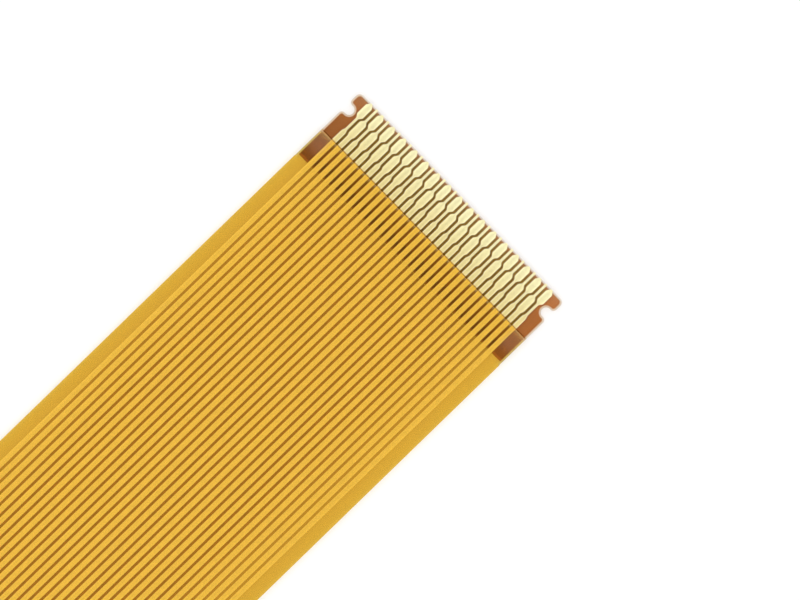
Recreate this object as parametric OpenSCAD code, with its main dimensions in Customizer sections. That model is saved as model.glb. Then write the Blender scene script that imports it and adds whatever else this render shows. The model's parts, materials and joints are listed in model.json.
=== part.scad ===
// Flat flex cable: a flexible printed circuit with staggered contacts at both ends.
// +X runs along the cable to the near end, +Y across it, +Z up to the contact side.
// The origin is under the middle, on the plane of the stiffeners' undersides.

/* [Cable] */
// Length from tip to tip
cable_length = 40; // [20:1:120]
// Number of conductors
contact_count = 33; // [5:2:51]
// Distance from one conductor to the next
contact_pitch = 0.3; // [0.25:0.05:0.6]
// Width of a conductor between the ends
trace_w = 0.2; // [0.1:0.01:0.22]
// From the middle of the outermost conductor to the side of the film
side_margin = 0.64; // [0.6:0.01:1.2]

/* [Layers] */
// Thickness of the base film
base_film_t = 0.025; // [0.0125:0.0125:0.05]
// Thickness of a conductor with its plating
conductor_t = 0.02; // [0.012:0.001:0.035]
// Thickness of the coverlay adhesive that lies over the conductors
adhesive_cover_t = 0.01; // [0.005:0.005:0.03]
// Thickness of the coverlay film
coverlay_film_t = 0.025; // [0.0125:0.0125:0.05]

/* [Contacts] */
// Width of a contact pad at its full width
pad_w = 0.3; // [0.2:0.01:0.34]
// Width of the neck behind a front pad and of the plating tail ahead of a rear pad
neck_w = 0.1; // [0.06:0.01:0.14]
// Length of the plating tail ahead of a front pad
front_tail = 0.02; // [0:0.01:0.1]
// From the tip to the back of the front pads, where the rear pads reach full width
row_change = 0.75; // [0.6:0.01:1]
// From the tip to where the rear pads start to narrow
rear_pad_back = 1.335; // [1.1:0.005:1.6]
// Length over which a pad widens from its neck or tail
pad_taper = 0.13; // [0.05:0.01:0.2]
// Length over which pads and necks change to the width of a conductor
trace_taper = 0.115; // [0.05:0.005:0.2]

/* [Coverlay] */
// From the tip to the front edge of the coverlay film
coverlay_setback = 1.975; // [1.85:0.005:2.5]
// How far the coverlay adhesive is squeezed out ahead of its film
adhesive_squeeze = 0.03; // [0.01:0.01:0.1]

/* [Stiffeners] */
// From the tip to the back edge of a stiffener
stiffener_length = 3.23; // [2.8:0.01:5]
// Thickness of a stiffener
stiffener_t = 0.125; // [0.075:0.025:0.2]
// Thickness of the adhesive between stiffener and base film
stiffener_adhesive_t = 0.03; // [0.02:0.005:0.05]
// How far the stiffener lies inside the punched edges of the film
stiffener_inset = 0.07; // [0.02:0.01:0.1]
// How far the adhesive stops short of the stiffener's back edge
adhesive_setback = 0.08; // [0.02:0.01:0.3]

/* [Punched ends] */
// How much narrower each side of the punched end is than the body
end_side_trim = 0.01; // [0.01:0.01:0.1]
// How far the punched end goes on behind the stiffener
end_run_on = 0.12; // [0.05:0.01:1]
// Length of the ear ahead of the lock notch
ear_length = 0.545; // [0.4:0.005:0.8]
// Radius of the ear's corner at the tip
ear_tip_r = 0.2; // [0.05:0.01:0.25]
// Radius of the ear's corner at the lock notch
ear_back_r = 0.15; // [0.03:0.01:0.2]
// Width of the lock notch along the cable, with a half-round inner end
notch_w = 0.4; // [0.3:0.01:0.6]
// Depth of the lock notch from the side
notch_depth = 0.385; // [0.3:0.005:0.42]
// Radius of the shoulder behind the lock notch
shoulder_r = 0.15; // [0.03:0.01:0.25]

/* [Hidden] */
$fn = 64;
// What a cutting shape reaches past the faces that it cuts
over = 0.01;

function two_digits(i) = str(i < 10 ? "0" : "", i);
function conductor_name(i) = str("conductor_", two_digits(i));

LAYER_NODES = [
    "base_film",
    "coverlay_adhesive",
    "coverlay_film",
    "stiffener_near",
    "stiffener_far",
    "stiffener_adhesive_near",
    "stiffener_adhesive_far",
];

tip_x = cable_length / 2;
contact_span = (contact_count - 1) * contact_pitch;
body_w = contact_span + 2 * side_margin;
end_w = body_w - 2 * end_side_trim;
end_length = stiffener_length + end_run_on;
notch_back = ear_length + notch_w;
notch_mid = ear_length + notch_w / 2;

// Heights of the layers' undersides, from the stiffeners up
base_film_z = stiffener_t + stiffener_adhesive_t;
conductor_z = base_film_z + base_film_t;
coverlay_adhesive_t = conductor_t + adhesive_cover_t;
coverlay_film_z = conductor_z + coverlay_adhesive_t;

// Half widths of a conductor at stations counted back from the tip.
// Odd conductors have a front pad and a neck, even ones a tail and a rear pad.
trace_station = [rear_pad_back + trace_taper, trace_w / 2];
front_pad_stations = [
    [0, neck_w / 2],
    [front_tail, neck_w / 2],
    [front_tail + pad_taper, pad_w / 2],
    [row_change - pad_taper, pad_w / 2],
    [row_change, neck_w / 2],
    [rear_pad_back, neck_w / 2],
    trace_station,
];
rear_pad_stations = [
    [0, neck_w / 2],
    [row_change - pad_taper, neck_w / 2],
    [row_change, pad_w / 2],
    [rear_pad_back, pad_w / 2],
    trace_station,
];

function conductor_y(i) = (i - 1) * contact_pitch - contact_span / 2;
function stations(i) = i % 2 == 1 ? front_pad_stations : rear_pad_stations;
function reversed(list) = [for (k = [len(list) - 1:-1:0]) list[k]];
// One edge of a conductor from the near tip to the far tip
function near_edge(s) = [for (p = s) [tip_x - p[0], p[1]]];
function far_edge(s) = [for (p = reversed(s)) [p[0] - tip_x, p[1]]];
function whole_edge(s) = concat(near_edge(s), far_edge(s));
function mirrored(edge) = [for (p = reversed(edge)) [p[0], -p[1]]];

// Outline of conductor i, seen from above
module conductor_plan(i) {
    edge = whole_edge(stations(i));
    translate([0, conductor_y(i)])
        polygon(concat(edge, mirrored(edge)));
}

// What a rounded corner at the origin loses, in the quarter where x and y are positive
module corner_waste(r) {
    translate([-r, -r])
        difference() {
            square(r + over);
            circle(r);
        }
}

// Radius of an outer corner once its edges are drawn in by inset
function inset_r(r, inset) = max(r - inset, over);

// One side of the punched end, with x counted back from the tip and y outward from the middle.
// inset draws the punched edges inward, while the cut at length stays.
module end_side_plan(length, inset) {
    side_y = end_w / 2 - inset;
    ear_back = ear_length - inset;
    shoulder_x = notch_back + inset;
    notch_r = notch_w / 2 + inset;
    notch_centre_y = end_w / 2 - notch_depth + notch_w / 2;
    difference() {
        translate([inset, 0])
            square([length - inset, side_y]);
        translate([notch_mid, notch_centre_y])
            circle(notch_r);
        translate([ear_back, notch_centre_y])
            square([shoulder_x - ear_back, side_y]);
        translate([inset, side_y])
            mirror([1, 0])
                corner_waste(inset_r(ear_tip_r, inset));
        translate([ear_back, side_y])
            corner_waste(inset_r(ear_back_r, inset));
        translate([shoulder_x, side_y])
            mirror([1, 0])
                corner_waste(inset_r(shoulder_r, inset));
    }
}

// Outline of a punched end from its tip back to length, both sides
module end_plan(length, inset) {
    translate([tip_x, 0])
        mirror([1, 0])
            for (side = [0, 1])
                mirror([0, side])
                    end_side_plan(length, inset);
}

// Outline of the whole film, with both punched ends
module film_plan() {
    square([cable_length - 2 * end_length, body_w], center = true);
    for (far = [0, 1])
        mirror([far, 0])
            end_plan(end_length, 0);
}

// The film's outline without its ends ahead of setback
module covered_plan(setback) {
    intersection() {
        film_plan();
        square([cable_length - 2 * setback, 2 * body_w], center = true);
    }
}

module base_film() {
    color("#D49A3A")
        translate([0, 0, base_film_z])
            linear_extrude(base_film_t)
                film_plan();
}

module conductor(i) {
    color("#EBCB74")
        translate([0, 0, conductor_z])
            linear_extrude(conductor_t)
                conductor_plan(i);
}

// Sheet of adhesive, grooved from below by the conductors
module coverlay_adhesive() {
    color("#C9A24E")
        translate([0, 0, conductor_z])
            difference() {
                linear_extrude(coverlay_adhesive_t)
                    covered_plan(coverlay_setback - adhesive_squeeze);
                translate([0, 0, -over])
                    linear_extrude(conductor_t + over)
                        for (i = [1:contact_count])
                            conductor_plan(i);
            }
}

module coverlay_film() {
    color("#DDA533")
        translate([0, 0, coverlay_film_z])
            linear_extrude(coverlay_film_t)
                covered_plan(coverlay_setback);
}

module stiffener() {
    color("#8E5230")
        linear_extrude(stiffener_t)
            end_plan(stiffener_length, stiffener_inset);
}

module stiffener_adhesive() {
    color("#E0BE96")
        translate([0, 0, stiffener_t])
            linear_extrude(stiffener_adhesive_t)
                end_plan(stiffener_length - adhesive_setback, stiffener_inset);
}

module stiffener_near() {
    stiffener();
}

module stiffener_far() {
    mirror([1, 0, 0])
        stiffener();
}

module stiffener_adhesive_near() {
    stiffener_adhesive();
}

module stiffener_adhesive_far() {
    mirror([1, 0, 0])
        stiffener_adhesive();
}

base_film();
coverlay_adhesive();
coverlay_film();
stiffener_near();
stiffener_far();
stiffener_adhesive_near();
stiffener_adhesive_far();
for (i = [1:contact_count])
    conductor(i);
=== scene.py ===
import json
import math

import bmesh
import bpy
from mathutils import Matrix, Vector

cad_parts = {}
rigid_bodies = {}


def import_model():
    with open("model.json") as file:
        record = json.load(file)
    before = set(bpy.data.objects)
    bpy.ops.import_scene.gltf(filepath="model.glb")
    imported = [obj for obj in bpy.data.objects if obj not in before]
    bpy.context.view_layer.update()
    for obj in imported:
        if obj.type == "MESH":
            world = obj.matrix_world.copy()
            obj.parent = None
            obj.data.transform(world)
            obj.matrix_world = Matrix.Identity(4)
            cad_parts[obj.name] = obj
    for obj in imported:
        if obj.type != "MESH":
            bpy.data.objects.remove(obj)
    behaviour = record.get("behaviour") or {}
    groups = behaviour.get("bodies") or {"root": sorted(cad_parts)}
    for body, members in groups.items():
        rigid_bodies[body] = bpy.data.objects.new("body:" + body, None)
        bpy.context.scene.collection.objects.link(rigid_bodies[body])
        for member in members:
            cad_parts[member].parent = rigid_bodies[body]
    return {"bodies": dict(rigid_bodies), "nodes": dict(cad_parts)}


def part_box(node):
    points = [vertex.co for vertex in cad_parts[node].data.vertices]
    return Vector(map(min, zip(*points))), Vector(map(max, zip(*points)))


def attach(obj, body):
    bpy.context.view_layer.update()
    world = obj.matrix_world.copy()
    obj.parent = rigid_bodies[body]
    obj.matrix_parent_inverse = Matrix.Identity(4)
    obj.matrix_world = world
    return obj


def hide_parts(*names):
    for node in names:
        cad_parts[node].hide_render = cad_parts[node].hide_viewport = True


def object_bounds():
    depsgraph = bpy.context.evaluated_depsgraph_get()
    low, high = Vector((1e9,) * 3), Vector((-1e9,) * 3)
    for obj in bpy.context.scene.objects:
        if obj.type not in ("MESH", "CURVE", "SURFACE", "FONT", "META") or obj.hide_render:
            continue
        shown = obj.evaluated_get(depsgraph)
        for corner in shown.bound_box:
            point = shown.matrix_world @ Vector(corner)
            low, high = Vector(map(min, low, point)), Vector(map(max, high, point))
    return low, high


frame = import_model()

cad_low, cad_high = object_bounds()
BODY = "root" if "root" in frame["bodies"] else next(iter(frame["bodies"]))
MM = 0.001

# ---- sizes read from the frame ---------------------------------------------

conductor_nodes = sorted(name for name in frame["nodes"] if name.startswith("conductor_"))
first_low, first_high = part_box(conductor_nodes[0])
second_low, second_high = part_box(conductor_nodes[1])
film_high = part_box("base_film")[1]
stiffener_low, stiffener_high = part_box("stiffener_near")
stiffener_adhesive_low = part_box("stiffener_adhesive_near")[0]
coverlay_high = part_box("coverlay_film")[1]
adhesive_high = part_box("coverlay_adhesive")[1]

TIP_X = film_high.x
PITCH = (second_low.y + second_high.y - first_low.y - first_high.y) / 2
CONDUCTOR_Z = first_low.z
CONDUCTOR_T = first_high.z - first_low.z
PAD_W = first_high.y - first_low.y
COVERLAY_SETBACK = TIP_X - coverlay_high.x
ADHESIVE_SETBACK = TIP_X - adhesive_high.x
STIFFENER_INSET = TIP_X - stiffener_high.x
# Distances back from the tip to the rear edges of the stiffener and of its adhesive
STIFFENER_BACK = TIP_X - stiffener_low.x
STIFFENER_ADHESIVE_BACK = TIP_X - stiffener_adhesive_low.x

# Faces that would coincide are kept this far apart
HAIR = 0.0004 * MM

# ---- sizes of a conductor, counted back from the tip -----------------------

NECK_W = 0.1 * MM
TRACE_W = 0.2 * MM
FRONT_TAIL = 0.02 * MM
ROW_CHANGE = 0.75 * MM
REAR_PAD_BACK = 1.335 * MM
PAD_TAPER = 0.13 * MM
TRACE_TAPER = 0.115 * MM
# The plated edge rolls down over this width on each side
EDGE_ROLL = 0.024 * MM
# The shaped end of a conductor and the steps it is drawn in
SHAPED_END = 1.5 * MM
END_STEPS = 75
SECTION_POINTS = 16


# ---- short calls for node trees --------------------------------------------


class Graph:
    """A node tree, with short calls for the nodes that go into it."""

    def __init__(self, tree):
        self.tree = tree

    def node(self, kind, inputs=None, **settings):
        """Adds a node. inputs maps a socket's name or number to a value or to another socket."""
        made = self.tree.nodes.new(kind)
        for name, value in settings.items():
            setattr(made, name, value)
        for key, value in (inputs or {}).items():
            self.feed(made.inputs[key], value)
        return made

    def feed(self, socket, value):
        if isinstance(value, bpy.types.NodeSocket):
            self.tree.links.new(value, socket)
        else:
            socket.default_value = value

    def math(self, operation, *values):
        inputs = dict(enumerate(values))
        return self.node("ShaderNodeMath", inputs, operation=operation).outputs[0]

    def ramp(self, value, start, end, low=0.0, high=1.0, smooth=False):
        """low until value reaches start, high from end on, and even in between."""
        inputs = {"Value": value, "From Min": start, "From Max": end, "To Min": low, "To Max": high}
        kind = "SMOOTHSTEP" if smooth else "LINEAR"
        return self.node("ShaderNodeMapRange", inputs, interpolation_type=kind).outputs[0]


# ---- conductors ------------------------------------------------------------

BAR_INPUTS = {
    "Half Length": TIP_X,
    "Across": 0.0,
    "Underside": CONDUCTOR_Z + HAIR,
    "Thickness": CONDUCTOR_T - HAIR,
    "Pad Width": PAD_W,
    "Neck Width": NECK_W,
    "Trace Width": TRACE_W,
    "Front Tail": FRONT_TAIL,
    "Row Change": ROW_CHANGE,
    "Rear Pad Back": REAR_PAD_BACK,
    "Pad Taper": PAD_TAPER,
    "Trace Taper": TRACE_TAPER,
    "Edge Roll": EDGE_ROLL,
}


def bar_half_width(g, back, sizes, front_row):
    """Half width of a conductor at a distance back from its tip."""
    neck = g.math("MULTIPLY", sizes["Neck Width"], 0.5)
    pad = g.math("MULTIPLY", sizes["Pad Width"], 0.5)
    trace = g.math("MULTIPLY", sizes["Trace Width"], 0.5)
    change_end = sizes["Row Change"]
    change_start = g.math("SUBTRACT", change_end, sizes["Pad Taper"])
    nose_end = g.math("ADD", sizes["Front Tail"], sizes["Pad Taper"])
    trace_start = sizes["Rear Pad Back"]
    trace_end = g.math("ADD", trace_start, sizes["Trace Taper"])

    nose = g.ramp(back, sizes["Front Tail"], nose_end)
    change = g.ramp(back, change_start, change_end)
    to_trace = g.ramp(back, trace_start, trace_end)
    swell = g.math("SUBTRACT", pad, neck)

    front = g.math("MULTIPLY_ADD", g.math("SUBTRACT", nose, change), swell, neck)
    front = g.math("MULTIPLY_ADD", to_trace, g.math("SUBTRACT", trace, neck), front)
    rear = g.math("MULTIPLY_ADD", change, swell, neck)
    rear = g.math("MULTIPLY_ADD", to_trace, g.math("SUBTRACT", trace, pad), rear)
    choice = {"Switch": front_row, "False": rear, "True": front}
    return g.node("GeometryNodeSwitch", choice, input_type="FLOAT").outputs[0]


def bar_tree():
    """Node tree that sweeps one conductor from tip to tip, with rolled upper edges."""
    tree = bpy.data.node_groups.new("conductor_bar", "GeometryNodeTree")
    face = tree.interface
    for name, size in BAR_INPUTS.items():
        face.new_socket(name, in_out="INPUT", socket_type="NodeSocketFloat").default_value = size
    face.new_socket("Front Row", in_out="INPUT", socket_type="NodeSocketBool")
    face.new_socket("Metal", in_out="INPUT", socket_type="NodeSocketMaterial")
    face.new_socket("Geometry", in_out="OUTPUT", socket_type="NodeSocketGeometry")
    g = Graph(tree)
    sizes = g.node("NodeGroupInput").outputs

    # The path's points crowd into the two shaped ends, and one step spans the straight trace
    index = g.node("GeometryNodeInputIndex").outputs[0]
    last = 2 * END_STEPS + 1
    to_near = g.math("SUBTRACT", float(last), index)
    steps_back = g.math("MINIMUM", index, to_near)
    back = g.math("MULTIPLY", steps_back, SHAPED_END / END_STEPS)
    reach = g.math("SUBTRACT", sizes["Half Length"], back)
    side = g.math("SIGN", g.math("SUBTRACT", index, last / 2))
    along = g.math("MULTIPLY", reach, side)
    line = g.node("GeometryNodeCurvePrimitiveLine", {"Start": (-1, 0, 0), "End": (1, 0, 0)})
    path = g.node("GeometryNodeResampleCurve", {"Curve": line.outputs[0], "Count": last + 1})
    place = g.node("ShaderNodeCombineXYZ", {"X": along})
    path = g.node("GeometryNodeSetPosition", {"Geometry": path.outputs[0], "Position": place.outputs[0]})

    # A circle of radius 1 swept along the path gives each point its place in the section
    ring = g.node("GeometryNodeCurvePrimitiveCircle", {"Resolution": SECTION_POINTS, "Radius": 1.0})
    swept = g.node(
        "GeometryNodeCurveToMesh",
        {"Curve": path.outputs[0], "Profile Curve": ring.outputs[0], "Fill Caps": True},
    )
    where = g.node("GeometryNodeInputPosition")
    split = g.node("ShaderNodeSeparateXYZ", {0: where.outputs[0]}).outputs
    tip_distance = g.math("SUBTRACT", sizes["Half Length"], g.math("ABSOLUTE", split["X"]))
    half_width = bar_half_width(g, tip_distance, sizes, sizes["Front Row"])
    flat = g.math("SUBTRACT", half_width, sizes["Edge Roll"])
    # Points within a hair of the middle stay there
    sideways = g.ramp(split["Y"], -0.01, 0.01, -1.0, 1.0)
    y = g.math("MULTIPLY_ADD", sideways, flat, sizes["Across"])
    y = g.math("MULTIPLY_ADD", split["Y"], sizes["Edge Roll"], y)
    rise = g.math("MAXIMUM", split["Z"], 0.0)
    z = g.math("MULTIPLY_ADD", rise, sizes["Thickness"], sizes["Underside"])
    place = g.node("ShaderNodeCombineXYZ", {"X": split["X"], "Y": y, "Z": z})
    shaped = g.node("GeometryNodeSetPosition", {"Geometry": swept.outputs[0], "Position": place.outputs[0]})

    # Smooth faces that break at the cut ends and along the underside
    angle = g.node("GeometryNodeInputMeshEdgeAngle").outputs["Unsigned Angle"]
    gentle = g.node("FunctionNodeCompare", {0: angle, 1: math.radians(50)}, operation="LESS_THAN")
    smooth = g.node(
        "GeometryNodeSetShadeSmooth",
        {"Geometry": shaped.outputs[0], "Shade Smooth": gentle.outputs[0]},
        domain="EDGE",
    )
    real = g.node("GeometryNodeRealizeInstances", {"Geometry": smooth.outputs[0]})
    done = g.node("GeometryNodeSetMaterial", {"Geometry": real.outputs[0], "Material": sizes["Metal"]})
    g.node("NodeGroupOutput", {0: done.outputs[0]})
    return tree


def set_inputs(modifier, values):
    """Sets a node modifier's inputs by their names, through the sockets' identifiers."""
    for item in modifier.node_group.interface.items_tree:
        if item.in_out == "INPUT" and item.name in values:
            modifier[item.identifier] = values[item.name]


def plain_mesh(name, tree, values):
    """Runs a node tree and keeps its result as a plain mesh object."""
    maker = bpy.data.objects.new(name, bpy.data.meshes.new(name + "_seed"))
    bpy.context.collection.objects.link(maker)
    modifier = maker.modifiers.new("shape", "NODES")
    modifier.node_group = tree
    set_inputs(modifier, values)
    ready = maker.evaluated_get(bpy.context.evaluated_depsgraph_get())
    mesh = bpy.data.meshes.new_from_object(ready)
    mesh.name = name
    maker.modifiers.clear()
    seed = maker.data
    maker.data = mesh
    bpy.data.meshes.remove(seed)
    return maker


def conductors(metal):
    """One bar for each conductor, in place of the plain solid."""
    tree = bar_tree()
    for number, node in enumerate(conductor_nodes, start=1):
        low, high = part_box(node)
        values = {"Across": (low.y + high.y) / 2, "Front Row": number % 2 == 1, "Metal": metal}
        bar = plain_mesh(node.replace("conductor", "contact_bar"), tree, values)
        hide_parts(node)
        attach(bar, BODY)


# ---- materials -------------------------------------------------------------

# What a white ground looks like through each layer, looking down and lit from above
WHITE_THROUGH_COVERLAY = (0.94, 0.77, 0.14)
WHITE_THROUGH_BASE_FILM = (0.92, 0.54, 0.24)
WHITE_THROUGH_ADHESIVE = (0.98, 0.94, 0.80)
# The base film between bare contacts, with painted shade and a painted yellow reflection of the gold
WHITE_THROUGH_BASE_SHADED_BETWEEN = (0.67, 0.66, 0.20)
# The underside of the coverlay adhesive: beside the conductors, in the grooves between them over the
# stiffener, and in the grooves along the rest of the cable. The grooves' tints are painted shade, where the
# conductors shadow the floor under the film, and the outer grooves carry less of it
WHITE_THROUGH_SIDE = (0.76, 0.74, 0.17)
WHITE_THROUGH_SHADED_GROOVE_AT_END = (0.76, 0.82, 0.05)
WHITE_THROUGH_SHADED_GROOVE = (0.31, 0.175, 0.01)
WHITE_THROUGH_LESS_SHADED_OUTER_GROOVE = (0.60, 0.52, 0.08)
# The bead that the press squeezes out ahead of the coverlay
WHITE_THROUGH_BEAD = (0.46, 0.33, 0.13)
# The punched edge goes pale where the film overhangs the stiffener; the darker line outside it is painted
# shade along the cut edge
WHITE_THROUGH_BASE_AT_TIP = (0.98, 0.93, 0.80)
WHITE_THROUGH_BASE_BEHIND_TIP = (0.62, 0.44, 0.28)
WHITE_THROUGH_BASE_RIM = (0.76, 0.55, 0.34)
WHITE_THROUGH_BASE_SHADED_OUTLINE = (0.60, 0.43, 0.29)
WHITE_THROUGH_COVERLAY_RIM = (0.90, 0.81, 0.52)
WHITE_THROUGH_COVERLAY_SHADED_OUTLINE = (0.86, 0.76, 0.48)
PUNCHED_END = STIFFENER_BACK + 0.12 * MM

GOLD_AT_TIP_WITH_PAINTED_GLARE = (0.900, 0.840, 0.487)
GOLD_AT_COVERLAY = (0.785, 0.655, 0.290)
GOLD_RIM_HIGHLIGHT = (1.00, 0.91, 0.65)
COPPER = (0.92, 0.69, 0.45)
COPPER_RIM_HIGHLIGHT = (0.95, 0.74, 0.55)
STIFFENER_BROWN = (0.46, 0.25, 0.14)

FILM_ROUGHNESS = 0.08
FILM_IOR = 1.6
# Half the height of the waves that the conductors raise in the coverlay
FILM_RELIEF = 0.0015 * MM

# The conductors' field ends under the outermost conductors
FIELD_HALF_WIDTH = abs(first_low.y + first_high.y) / 2


def new_material(name):
    """An empty node material, as (material, graph, output's surface socket)."""
    material = bpy.data.materials.new(name)
    material.use_nodes = True
    material.node_tree.nodes.clear()
    g = Graph(material.node_tree)
    output = g.node("ShaderNodeOutputMaterial")
    return material, g, output.inputs["Surface"]


def face_tint(two_way, faces=4):
    """Light crosses a layer's two faces on its way down and again on its way up.

    Each of the four crossings passes the fourth root, or the square root where one of the two
    faces has a tint of its own.
    """
    return (*(c ** (1 / faces) for c in two_way), 1.0)


class Place:
    """Where a point of a surface lies, for patterns that follow the cable."""

    def __init__(self, g):
        self.g = g
        self.point = g.node("ShaderNodeTexCoord").outputs["Object"]
        split = g.node("ShaderNodeSeparateXYZ", {0: self.point}).outputs
        self.across = split["Y"]
        self.height = split["Z"]
        # Distance back from the nearer tip
        self.back = g.math("SUBTRACT", TIP_X, g.math("ABSOLUTE", split["X"]))
        self.from_middle = g.math("ABSOLUTE", split["Y"])

    def slope(self):
        """How far the surface faces up: 1 on top, -1 underneath."""
        normal = self.g.node("ShaderNodeNewGeometry").outputs["True Normal"]
        return self.g.node("ShaderNodeSeparateXYZ", {0: normal}).outputs["Z"]

    def in_field(self):
        """1 between the outermost conductors."""
        return self.g.math("LESS_THAN", self.from_middle, FIELD_HALF_WIDTH)

    def fade(self, start, length):
        """1 at a distance back from the tip, falling to a third after each length, 0 before it."""
        past = self.g.math("SUBTRACT", self.back, start)
        falling = self.g.math("EXPONENT", self.g.math("DIVIDE", past, -length))
        return self.g.math("MULTIPLY", falling, self.g.math("GREATER_THAN", past, 0.0))

    def noise(self, scale, detail):
        return self.g.node(
            "ShaderNodeTexNoise", {"Vector": self.point, "Scale": scale, "Detail": detail}
        ).outputs[0]


def mixed(g, share, first, second):
    """Colour that goes from first to second."""
    inputs = {"Factor": share, "A": first, "B": second}
    return g.node("ShaderNodeMix", inputs, data_type="RGBA").outputs["Result"]


def toned(g, colour, tone):
    return g.node("ShaderNodeVectorMath", {0: colour, "Scale": tone}, operation="SCALE").outputs[0]


def film_material(name, tint, haze_and_sheen, haze_and_sheen_colour, open_faces=None, relief=None):
    """A see-through film: tinted, a little hazy with a painted sheen in places, and glossy on the faces that
    are open to the air.

    tint, haze_and_sheen, open_faces and relief are functions of the graph and the place. haze_and_sheen
    gives the milky share, which in places is painted sheen and painted glare. open_faces gives 1 where a
    face is open and 0 where it is bonded to its neighbour. relief runs from -1 to 1.
    """
    material, g, surface = new_material(name)
    place = Place(g)
    cloud = g.ramp(place.noise(900.0, 4.0), 0.3, 0.7, 0.8, 1.2)
    share = g.math("MULTIPLY", haze_and_sheen(g, place), cloud)
    clear = g.node("ShaderNodeBsdfTransparent", {"Color": tint(g, place)})
    body = g.node(
        "ShaderNodeBsdfPrincipled",
        {"Base Color": (*haze_and_sheen_colour, 1.0), "Roughness": FILM_ROUGHNESS, "IOR": FILM_IOR},
    )
    whole = g.node("ShaderNodeMixShader", {0: share, 1: clear.outputs[0], 2: body.outputs[0]})
    if open_faces:
        # Only light that comes from outside glances off, because the film doesn't bend the rest
        outside = g.math("SUBTRACT", 1.0, g.node("ShaderNodeNewGeometry").outputs["Backfacing"])
        shine = g.node("ShaderNodeFresnel", {"IOR": FILM_IOR}).outputs[0]
        shine = g.math("MULTIPLY", g.math("MULTIPLY", shine, outside), open_faces(g, place))
        look = {"Color": (1, 1, 1, 1), "Roughness": FILM_ROUGHNESS}
        if relief:
            wave = {"Strength": 1.0, "Distance": FILM_RELIEF, "Height": relief(g, place)}
            look["Normal"] = g.node("ShaderNodeBump", wave).outputs[0]
        gloss = g.node("ShaderNodeBsdfAnisotropic", look)
        whole = g.node("ShaderNodeMixShader", {0: shine, 1: whole.outputs[0], 2: gloss.outputs[0]})
    g.feed(surface, whole.outputs[0])
    return material


# Nearness to the edge over which the pale band and then its line of painted shade set in
BAND_START = (0.02, 0.2)
SHADED_OUTLINE_START = (0.72, 0.85)


def punched_edge(g, place, tint, rim, outline, sides_only=False):
    """Tint of a film, gone pale along its punched edge, with a line of painted shade at the very edge."""
    nearness = g.node("ShaderNodeAttribute", attribute_name=EDGE_NEARNESS).outputs["Fac"]
    nearness = g.math("MULTIPLY", nearness, g.math("LESS_THAN", place.back, PUNCHED_END))
    if sides_only:
        beside = g.math("GREATER_THAN", place.from_middle, film_high.y - 1.5 * STIFFENER_INSET)
        nearness = g.math("MULTIPLY", nearness, beside)
    tint = mixed(g, g.ramp(nearness, *BAND_START), tint, face_tint(rim))
    return mixed(g, g.ramp(nearness, *SHADED_OUTLINE_START), tint, face_tint(outline))


def base_film_material():
    def tint(g, place):
        # Between the bare contacts the film gets painted shade and a painted yellow reflection of the gold
        bare = g.math("LESS_THAN", place.back, COVERLAY_SETBACK)
        yellow = g.ramp(place.back, 0.05 * MM, 0.3 * MM)
        between = g.math("MULTIPLY", g.math("MULTIPLY", bare, yellow), place.in_field())
        film = mixed(
            g, between, face_tint(WHITE_THROUGH_BASE_FILM), face_tint(WHITE_THROUGH_BASE_SHADED_BETWEEN)
        )
        film = punched_edge(g, place, film, WHITE_THROUGH_BASE_RIM, WHITE_THROUGH_BASE_SHADED_OUTLINE)
        # At the tip the band pales evenly toward the edge, with no outline
        to_band = g.ramp(place.back, 0.0, STIFFENER_INSET)
        at_tip = mixed(
            g, to_band, face_tint(WHITE_THROUGH_BASE_AT_TIP), face_tint(WHITE_THROUGH_BASE_BEHIND_TIP)
        )
        return mixed(g, g.math("LESS_THAN", place.back, STIFFENER_INSET), film, at_tip)

    def haze_and_sheen(g, place):
        # Painted glare: a milky share that fades back from the tip
        return g.math("MULTIPLY", place.fade(0.0, 0.4 * MM), 0.04)

    def open_faces(g, place):
        """The upper face is open at the contacts, the underside between the stiffeners."""
        slope = place.slope()
        above = g.math("GREATER_THAN", slope, 0.5)
        top = g.math("MULTIPLY", above, g.math("LESS_THAN", place.back, ADHESIVE_SETBACK))
        below = g.math("LESS_THAN", slope, -0.5)
        under = g.math("MULTIPLY", below, g.math("GREATER_THAN", place.back, STIFFENER_BACK))
        return g.math("ADD", top, under)

    return film_material("base_film_amber", tint, haze_and_sheen, (0.95, 0.85, 0.75), open_faces)


def coverlay_material():
    def tint(g, place):
        film = face_tint(WHITE_THROUGH_COVERLAY)
        return punched_edge(
            g, place, film, WHITE_THROUGH_COVERLAY_RIM, WHITE_THROUGH_COVERLAY_SHADED_OUTLINE, sides_only=True
        )

    def haze_and_sheen(g, place):
        # A pale sheen where the film lies beside the conductors over the stiffener
        beside = g.math("SUBTRACT", 1.0, place.in_field())
        over = g.ramp(place.back, 2.5 * MM, 3.05 * MM, 0.04, 0.0, smooth=True)
        return g.math("MULTIPLY_ADD", beside, over, 0.008)

    def open_faces(g, place):
        """The upper face is open all along."""
        return g.math("GREATER_THAN", place.slope(), 0.5)

    def relief(g, place):
        # The film dips a few micrometres between the conductors
        phase = g.math("DIVIDE", g.math("ADD", place.across, TIP_X), PITCH)
        # An odd number of conductors puts one in the middle, where across is 0
        phase = g.math("SUBTRACT", phase, TIP_X / PITCH)
        ridge = g.math("COSINE", g.math("MULTIPLY", phase, math.tau))
        return g.math("MULTIPLY", ridge, place.in_field())

    return film_material("coverlay_amber", tint, haze_and_sheen, (0.85, 0.60, 0.60), open_faces, relief)


# Across the cable, where the grooves start to pale toward each side and where they are palest: painted light
# that reaches in under the film from the sides
LEFT_SIDE_LIGHT = (3.4 * MM, 4.9 * MM)
RIGHT_SIDE_LIGHT = (-2.9 * MM, -4.9 * MM)
LEFT_SIDE_LIGHT_SHARE = 0.6
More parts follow.
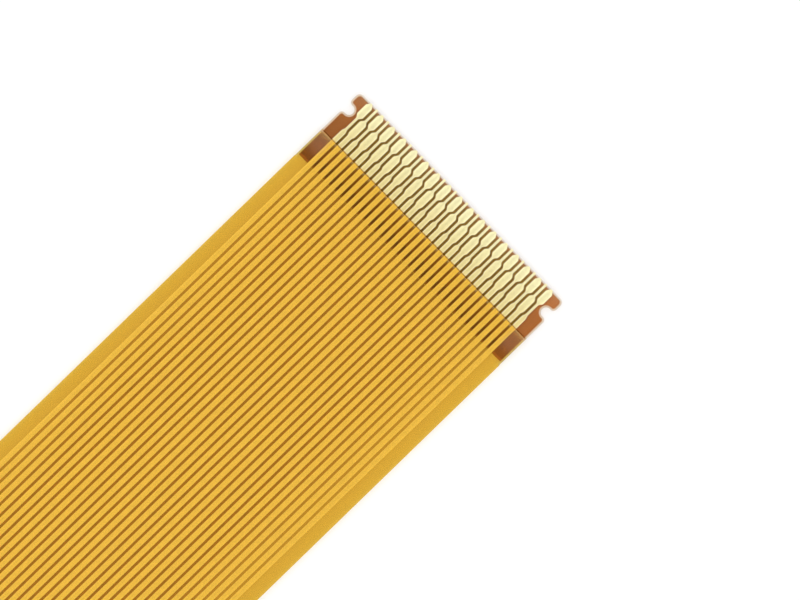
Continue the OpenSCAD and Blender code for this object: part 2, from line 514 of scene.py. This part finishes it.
# Where the painted shade in the grooves deepens over the rear of the stiffener, and how much light each face
# then passes
REAR_GROOVE_SHADE = (2.65 * MM, 2.85 * MM)
REAR_GROOVE_SHADE_TONE = 0.86
# The same painted shade just behind the stiffener, where the stiffener shadows the floor, and where that has
# gone
BEHIND_STIFFENER_SHADE_TONE = 0.87
BEHIND_STIFFENER_SHADE_END = 6.0 * MM
# Behind the coverlay's front edge, a painted sheen: a pale line and a veil, each with its length and its
# strength
EDGE_SHEEN_LINE = (0.08 * MM, 0.60)
EDGE_SHEEN_VEIL = (0.5 * MM, 0.03)


def coverlay_adhesive_material():
    def underside(g, place):
        """1 on the faces that lie on the base film, 0 above the conductors."""
        return g.math("LESS_THAN", place.height, CONDUCTOR_Z + CONDUCTOR_T / 2)

    def tint(g, place):
        # Painted light: the grooves get paler toward the cable's sides, on one side more than on the other
        left = g.ramp(place.across, *LEFT_SIDE_LIGHT, 0.0, LEFT_SIDE_LIGHT_SHARE)
        right = g.ramp(place.across, RIGHT_SIDE_LIGHT[1], RIGHT_SIDE_LIGHT[0], 1.0, 0.0)
        groove_shade = mixed(
            g,
            g.math("ADD", left, right),
            face_tint(WHITE_THROUGH_SHADED_GROOVE, 2),
            face_tint(WHITE_THROUGH_LESS_SHADED_OUTER_GROOVE, 2),
        )
        # The painted shade is darkest over the rear of the stiffener, and still a little dark just behind
        # it, where the stiffener shadows the floor
        rear_shade = g.ramp(place.back, *REAR_GROOVE_SHADE, 1.0, REAR_GROOVE_SHADE_TONE)
        groove_shade_at_end = toned(g, face_tint(WHITE_THROUGH_SHADED_GROOVE_AT_END, 2)[:3], rear_shade)
        behind_shade = g.ramp(place.back, STIFFENER_BACK, BEHIND_STIFFENER_SHADE_END, BEHIND_STIFFENER_SHADE_TONE, 1.0)
        groove_shade = toned(g, groove_shade, behind_shade)
        past_stiffener = g.ramp(place.back, STIFFENER_BACK - 0.02 * MM, STIFFENER_BACK + 0.06 * MM)
        groove_shade = mixed(g, past_stiffener, groove_shade_at_end, groove_shade)
        low = mixed(g, place.in_field(), face_tint(WHITE_THROUGH_SIDE, 2), groove_shade)
        plain = mixed(g, underside(g, place), face_tint(WHITE_THROUGH_ADHESIVE), low)
        bead = g.math("LESS_THAN", place.back, COVERLAY_SETBACK + 0.01 * MM)
        return mixed(g, bead, plain, face_tint(WHITE_THROUGH_BEAD))

    def haze_and_sheen(g, place):
        # A painted sheen where the film steps down at the cut edge: a pale line just behind it, and a veil
        # that fades over a millimetre
        behind = COVERLAY_SETBACK + 0.015 * MM
        line_length, line_strength = EDGE_SHEEN_LINE
        veil_length, veil_strength = EDGE_SHEEN_VEIL
        line = g.math("MULTIPLY", place.fade(behind, line_length), line_strength)
        sheen_veil = g.math("MULTIPLY_ADD", place.fade(behind, veil_length), veil_strength, line)
        return g.math("MULTIPLY_ADD", underside(g, place), sheen_veil, 0.004)

    return film_material("coverlay_adhesive_with_painted_shade_and_sheen", tint, haze_and_sheen, (0.95, 0.70, 0.90))


def stiffener_adhesive_material():
    def tint(g, place):
        return face_tint(WHITE_THROUGH_ADHESIVE)

    def haze_and_sheen(g, place):
        # Painted glare: a milky share at the tip that fades within a short way back
        return g.math("MULTIPLY", place.fade(0.0, 0.15 * MM), 0.15)

    return film_material("stiffener_adhesive_clear", tint, haze_and_sheen, (0.95, 0.80, 0.68))


# Back from the tip, where the painted glare on the gold starts to fade and where it has gone, leaving the
# gold at its deepest
GOLD_PAINTED_GLARE_FADE = (0.15 * MM, 1.75 * MM)
# How far the rolled edge faces up where its painted highlight sets in and where it is full
ROLL_HIGHLIGHT_SLOPE = (0.985, 0.90)


def metal_material():
    """Gold where the contacts are bare, rolled copper where the coverlay covers them."""
    material, g, surface = new_material("contact_metal")
    place = Place(g)
    covered = g.math("GREATER_THAN", place.back, ADHESIVE_SETBACK)
    # Painted glare: the gold is paler near the tip and deepens back toward the coverlay
    along = g.ramp(place.back, *GOLD_PAINTED_GLARE_FADE)
    gold = mixed(g, along, (*GOLD_AT_TIP_WITH_PAINTED_GLARE, 1.0), (*GOLD_AT_COVERLAY, 1.0))
    # A painted highlight: the rolled edges take a paler colour as they turn away from straight up
    rim = g.ramp(place.slope(), *ROLL_HIGHLIGHT_SLOPE)
    gold = mixed(g, rim, gold, (*GOLD_RIM_HIGHLIGHT, 1.0))
    copper = mixed(g, rim, (*COPPER, 1.0), (*COPPER_RIM_HIGHLIGHT, 1.0))
    colour = mixed(g, covered, gold, copper)
    grain = place.noise(14000.0, 3.0)
    blotch = g.ramp(place.noise(4000.0, 2.0), 0.3, 0.7, 0.975, 1.015)
    speckle = g.ramp(grain, 0.35, 0.65, 0.95, 1.03)
    rough = g.ramp(grain, 0.3, 0.7, 0.36, 0.44)
    bump = g.node("ShaderNodeBump", {"Strength": 0.08, "Distance": 0.0005 * MM, "Height": grain})
    metal = g.node(
        "ShaderNodeBsdfPrincipled",
        {
            "Base Color": toned(g, colour, g.math("MULTIPLY", blotch, speckle)),
            "Metallic": 1.0,
            "Roughness": rough,
            "Normal": bump.outputs[0],
        },
    )
    g.feed(surface, metal.outputs[0])
    return material


# The stiffener's tone along the cable: three steps back from the tip, each with its place and tone
# The first step is painted glare, paler toward the tip
FRONT_GLARE_STEP = (0.3 * MM, 1.5 * MM, 1.0, 0.84)
MIDDLE_STEP = (1.5 * MM, 2.0 * MM, 1.0, 0.97)
REAR_STEP = (2.65 * MM, 2.9 * MM, 1.0, 0.88)
# And across it, from one side to the other
ASIDE_STEP = (-5.2 * MM, 5.2 * MM, 1.10, 0.92)
UNBONDED_TONE = 1.45


def stiffener_material():
    """Thick brown sheet with a satin face, a little paler toward the tip, which is painted glare, and to one
    side.
    """
    material, g, surface = new_material("stiffener_sheet")
    place = Place(g)
    cloud = g.ramp(place.noise(700.0, 5.0), 0.3, 0.7, 0.96, 1.04)
    front = g.ramp(place.back, *FRONT_GLARE_STEP, smooth=True)
    middle = g.ramp(place.back, *MIDDLE_STEP)
    rear = g.math("MULTIPLY", middle, g.ramp(place.back, *REAR_STEP))
    aside = g.ramp(place.across, *ASIDE_STEP)
    # It is lighter behind the adhesive's rear edge
    bond_end = STIFFENER_ADHESIVE_BACK
    unbonded = g.ramp(place.back, bond_end - 0.03 * MM, bond_end, 1.0, UNBONDED_TONE)
    tone = g.math("MULTIPLY", g.math("MULTIPLY", front, rear), g.math("MULTIPLY", aside, cloud))
    tone = g.math("MULTIPLY", tone, unbonded)
    look = {"Base Color": toned(g, STIFFENER_BROWN, tone), "Roughness": 0.35, "IOR": FILM_IOR}
    sheet = g.node("ShaderNodeBsdfPrincipled", look)
    g.feed(surface, sheet.outputs[0])
    return material


def dress(node, material, hair=0.0):
    """Gives a CAD node its material, drawn in by a hair where it would share a face with a neighbour."""
    part = frame["nodes"][node]
    part.data.materials.clear()
    part.data.materials.append(material)
    if hair:
        part.modifiers.new("join", "WELD").merge_threshold = 1e-7
        shrink = part.modifiers.new("hair", "DISPLACE")
        shrink.mid_level = 0.0
        shrink.strength = -hair


# Name of the films' attribute that is 1 along the outline and 0 from the stiffener's edge inward
EDGE_NEARNESS = "edge_nearness"


def rimmed_film(node, name, material):
    """The film of a CAD node, with a band along its outline that knows how near the edge it is."""
    mesh = frame["nodes"][node].data.copy()
    mesh.name = name
    film = bpy.data.objects.new(name, mesh)
    bpy.context.collection.objects.link(film)
    work = bmesh.new()
    work.from_mesh(mesh)
    bmesh.ops.remove_doubles(work, verts=work.verts, dist=1e-8)
    bmesh.ops.dissolve_limit(
        work, angle_limit=math.radians(1), verts=work.verts, edges=work.edges, delimit={"NORMAL"}
    )
    nearness = work.verts.layers.float.new(EDGE_NEARNESS)
    for vert in work.verts:
        vert[nearness] = 1.0
    for flat in [face for face in work.faces if abs(face.normal.z) > 0.9]:
        bmesh.ops.inset_region(work, faces=[flat], thickness=STIFFENER_INSET, use_even_offset=True)
        for vert in flat.verts:
            vert[nearness] = 0.0
    work.to_mesh(mesh)
    work.free()
    mesh.materials.clear()
    mesh.materials.append(material)
    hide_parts(node)
    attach(film, BODY)


# ---- floor, light and camera -----------------------------------------------

# The point that the camera looks down on, from the middle of the near tip, and what it sees across
AIM_BACK = 4.305 * MM
AIM_ASIDE = -1.136 * MM
VIEW_WIDTH = 29.652 * MM
# The cable's tip points this far above the right of the picture
TURN = math.radians(44.13)
LENS = 200.0
SENSOR = 36.0

FLOOR_SIZE = 2.4
FLOOR_GAP = 0.01 * MM
# Share of the floor's white that doesn't depend on the shadow over it
FLOOR_EVENNESS = 0.35


def floor():
    mesh = bpy.data.meshes.new("floor")
    half = FLOOR_SIZE / 2
    corners = [(x, y, -FLOOR_GAP) for x, y in ((-half, -half), (half, -half), (half, half), (-half, half))]
    mesh.from_pydata(corners, [], [(0, 1, 2, 3)])
    ground = bpy.data.objects.new("floor", mesh)
    bpy.context.collection.objects.link(ground)
    material, g, surface = new_material("white_floor")
    white = g.node("ShaderNodeBsdfDiffuse", {"Color": (1.0, 1.0, 1.0, 1.0)})
    plain = g.node("ShaderNodeEmission", {"Color": (1.0, 1.0, 1.0, 1.0), "Strength": 1.0})
    seen = g.math("MULTIPLY", g.node("ShaderNodeLightPath").outputs["Is Camera Ray"], FLOOR_EVENNESS)
    top = g.node("ShaderNodeMixShader", {0: seen, 1: white.outputs[0], 2: plain.outputs[0]})
    under = g.node("ShaderNodeBsdfTransparent")
    back = g.node("ShaderNodeNewGeometry").outputs["Backfacing"]
    both = g.node("ShaderNodeMixShader", {0: back, 1: top.outputs[0], 2: under.outputs[0]})
    g.feed(surface, both.outputs[0])
    mesh.materials.append(material)
    # Only the eye meets the floor; the white half of the sky below it stands in for the rest
    ground.visible_diffuse = False
    ground.visible_glossy = False
    ground.visible_transmission = False
    ground.visible_shadow = False


def camera():
    data = bpy.data.cameras.new("camera")
    data.lens = LENS
    data.sensor_width = SENSOR
    data.clip_start = 0.001
    data.clip_end = 10.0
    eye = bpy.data.objects.new("camera", data)
    bpy.context.collection.objects.link(eye)
    height = VIEW_WIDTH / 2 * LENS / (SENSOR / 2)
    eye.location = (TIP_X - AIM_BACK, AIM_ASIDE, cad_high.z + height)
    # Unturned, the picture's right is +X; turning the camera by -TURN lifts +X to the upper right
    eye.rotation_euler = (0.0, 0.0, -TURN)
    bpy.context.scene.camera = eye


# How bright the sky is straight above, round that opening, and down at the horizon
SKY_ABOVE = 0.06
SKY_AROUND = 1.25
SKY_HORIZON = 0.55
# The lower half, which lights the underside as a white floor would
SKY_BELOW = 1.0
# Angles from straight above at which the opening ends and the bright part begins and fades
OPENING = (math.radians(8), math.radians(13))
FADE = (math.radians(38), math.radians(62))
FLOOR_LINE = (math.radians(86), math.radians(92))


def sky():
    """A soft white sky with a dark opening above, where the camera looks down."""
    world = bpy.data.worlds.new("sky")
    world.use_nodes = True
    world.node_tree.nodes.clear()
    g = Graph(world.node_tree)
    up = g.node("ShaderNodeSeparateXYZ", {0: g.node("ShaderNodeTexCoord").outputs["Generated"]}).outputs["Z"]
    from_above = g.math("ARCCOSINE", up)
    around = g.ramp(from_above, *FADE, SKY_AROUND, SKY_HORIZON, smooth=True)
    opening = g.ramp(from_above, *OPENING, smooth=True)
    strength = g.math("MULTIPLY_ADD", g.math("SUBTRACT", around, SKY_ABOVE), opening, SKY_ABOVE)
    below = g.ramp(from_above, *FLOOR_LINE, smooth=True)
    strength = g.math("MULTIPLY_ADD", g.math("SUBTRACT", SKY_BELOW, strength), below, strength)
    # The eye itself sees plain white beyond the floor
    seen = g.node("ShaderNodeLightPath").outputs["Is Camera Ray"]
    strength = g.math("MULTIPLY_ADD", g.math("SUBTRACT", 1.0, strength), seen, strength)
    light = g.node("ShaderNodeBackground", {"Color": (1, 1, 1, 1), "Strength": strength})
    g.node("ShaderNodeOutputWorld", {"Surface": light.outputs[0]})
    bpy.context.scene.world = world


SOFTBOX_POWER = 0.12
SOFTBOX_SIZE = 0.3
SOFTBOX_DISTANCE = 0.5
SOFTBOX_COUNT = 4
SOFTBOX_TILT = math.radians(40)


def softboxes():
    for number in range(SOFTBOX_COUNT):
        turn = math.tau * number / SOFTBOX_COUNT
        data = bpy.data.lights.new(f"softbox_{number + 1}", "AREA")
        data.size = SOFTBOX_SIZE
        data.energy = SOFTBOX_POWER
        lamp = bpy.data.objects.new(data.name, data)
        bpy.context.collection.objects.link(lamp)
        level = math.sin(SOFTBOX_TILT)
        away = Vector((math.cos(turn) * level, math.sin(turn) * level, math.cos(SOFTBOX_TILT)))
        lamp.location = away * SOFTBOX_DISTANCE
        lamp.rotation_mode = "QUATERNION"
        lamp.rotation_quaternion = away.to_track_quat("Z", "Y")
        lamp.visible_camera = False


# ---- build -----------------------------------------------------------------

conductors(metal_material())
rimmed_film("base_film", "amber_base_film", base_film_material())
rimmed_film("coverlay_film", "amber_coverlay", coverlay_material())
dress("coverlay_adhesive", coverlay_adhesive_material(), HAIR)
bond = stiffener_adhesive_material()
dress("stiffener_adhesive_near", bond, HAIR)
dress("stiffener_adhesive_far", bond, HAIR)
brown = stiffener_material()
dress("stiffener_near", brown)
dress("stiffener_far", brown)

floor()
sky()
softboxes()
camera()

scene = bpy.context.scene
scene.view_settings.view_transform = "Standard"
scene.cycles.transparent_max_bounces = 48
